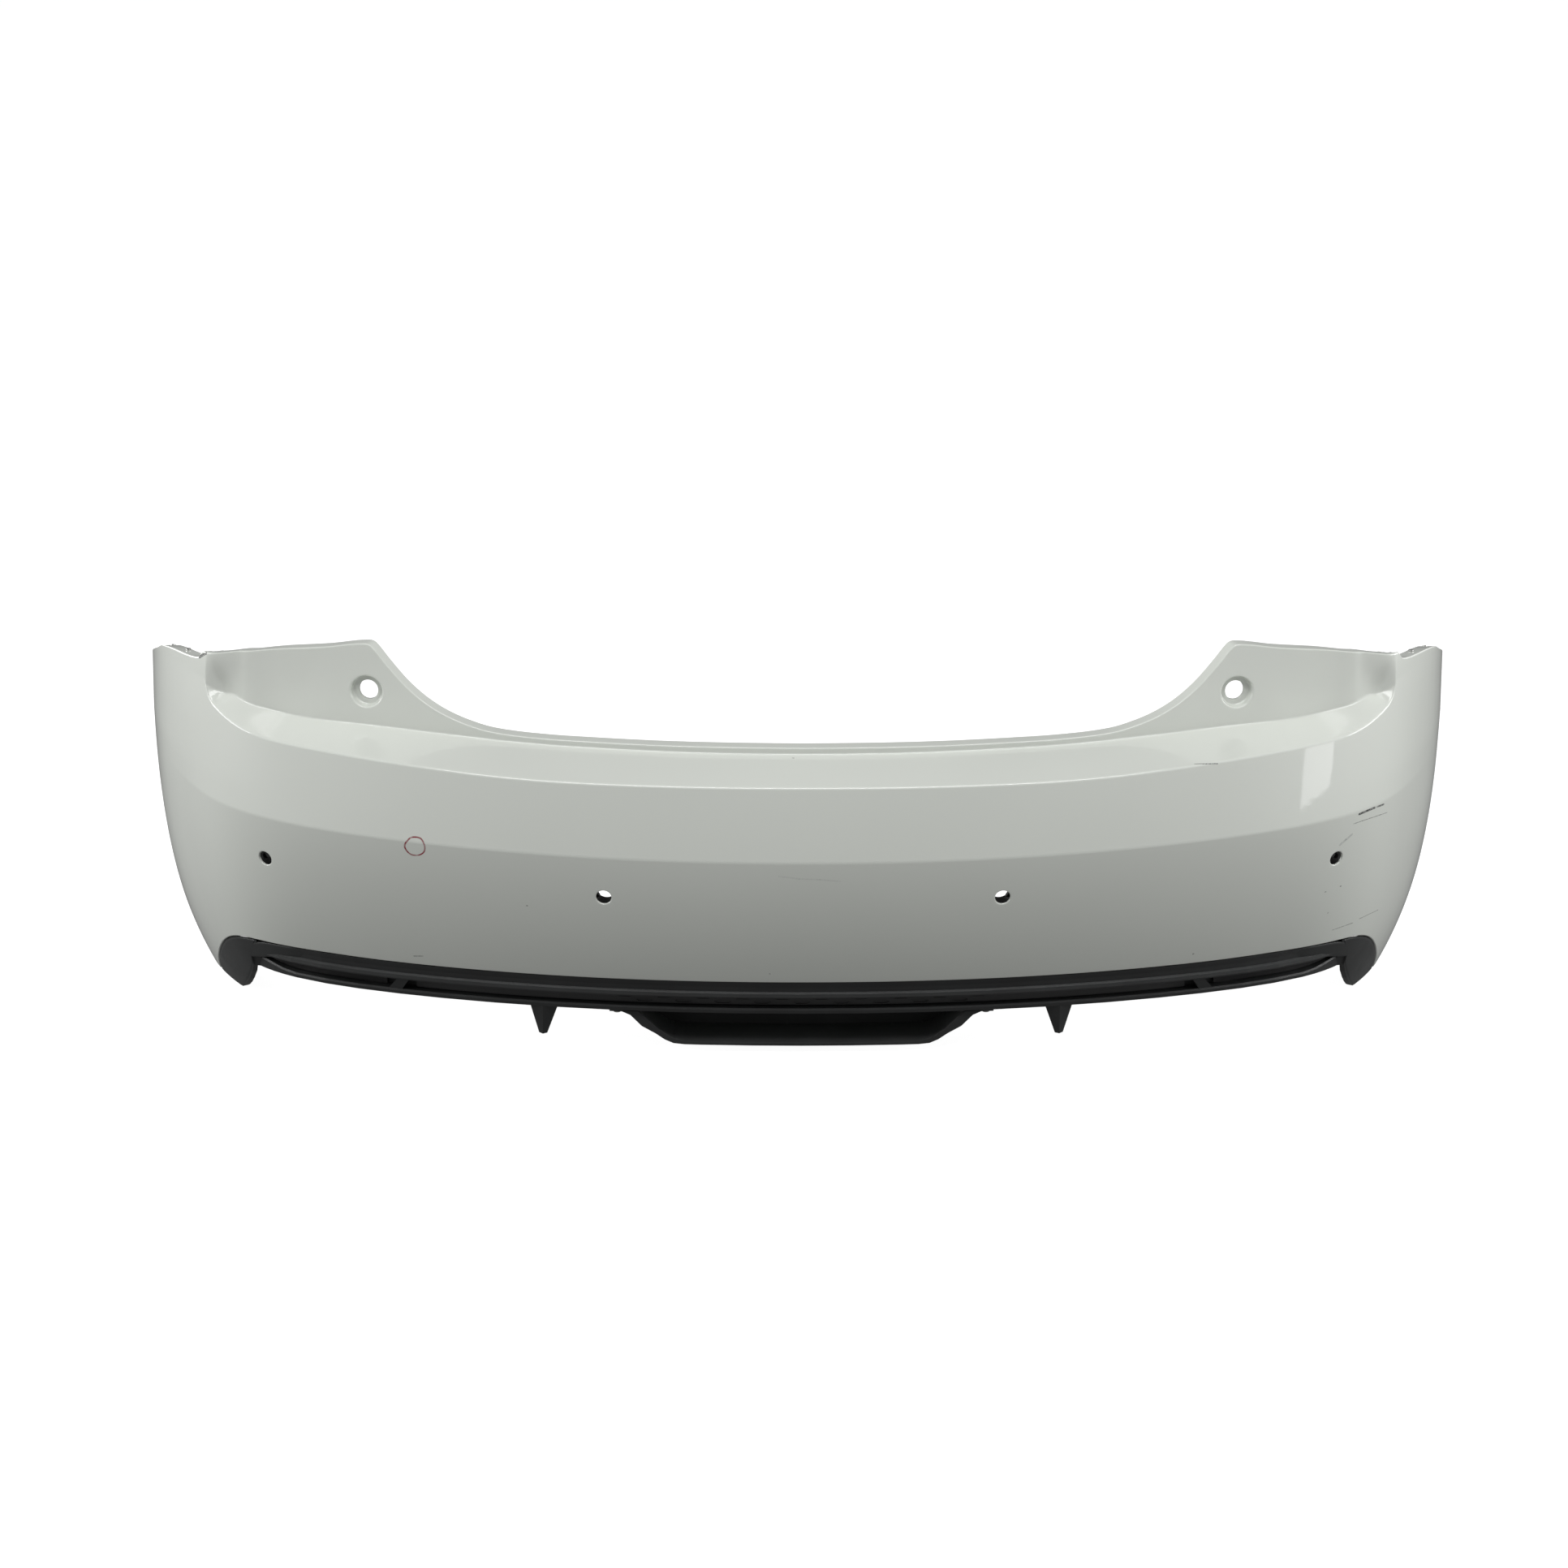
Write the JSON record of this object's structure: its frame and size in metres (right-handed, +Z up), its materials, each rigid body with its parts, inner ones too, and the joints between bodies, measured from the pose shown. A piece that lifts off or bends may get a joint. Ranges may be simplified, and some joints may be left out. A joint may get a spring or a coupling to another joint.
{
  "type": "bumper cover",
  "caption": "Painted rear bumper cover with shoulders, tailgate step, parking sensor holes and a dark diffuser with honeycomb insert, fins and a centre tray.",
  "frame": {"origin": "centre of the centre fixing hole in the top flange, mid-way through the flange, on the car's centre plane", "axes": "+X to the right seen from behind the car, +Y forward into the car, +Z up"},
  "size_m": [1.7256, 0.4905, 0.5059],
  "materials": {
    "white_paint": "gloss two-layer paint on plastic",
    "grained_plastic": "fine grained, moulded in dark grey",
    "black_plastic": "moulded black",
    "matt_plastic": "moulded black",
    "steel": "zinc plated"
  },
  "bodies": {
    "root": {"bumper_cover": "white_paint", "diffuser_panel": "grained_plastic", "honeycomb_grille": "black_plastic", "left_slot_panel": "black_plastic", "right_slot_panel": "black_plastic", "centre_tray": "grained_plastic", "sensor_holder_outer_left": "matt_plastic", "sensor_holder_inner_left": "matt_plastic", "sensor_holder_inner_right": "matt_plastic", "sensor_holder_outer_right": "matt_plastic", "left_guide_rail": "matt_plastic", "right_guide_rail": "matt_plastic", "guide_rail_rivets": "steel", "left_corner_brace": "matt_plastic", "right_corner_brace": "matt_plastic", "brace_rivets": "steel", "diffuser_clips": "black_plastic", "tray_screws": "steel", "top_clip_nuts": "steel", "arch_u_nuts": "steel"}
  },
  "joints": []
}
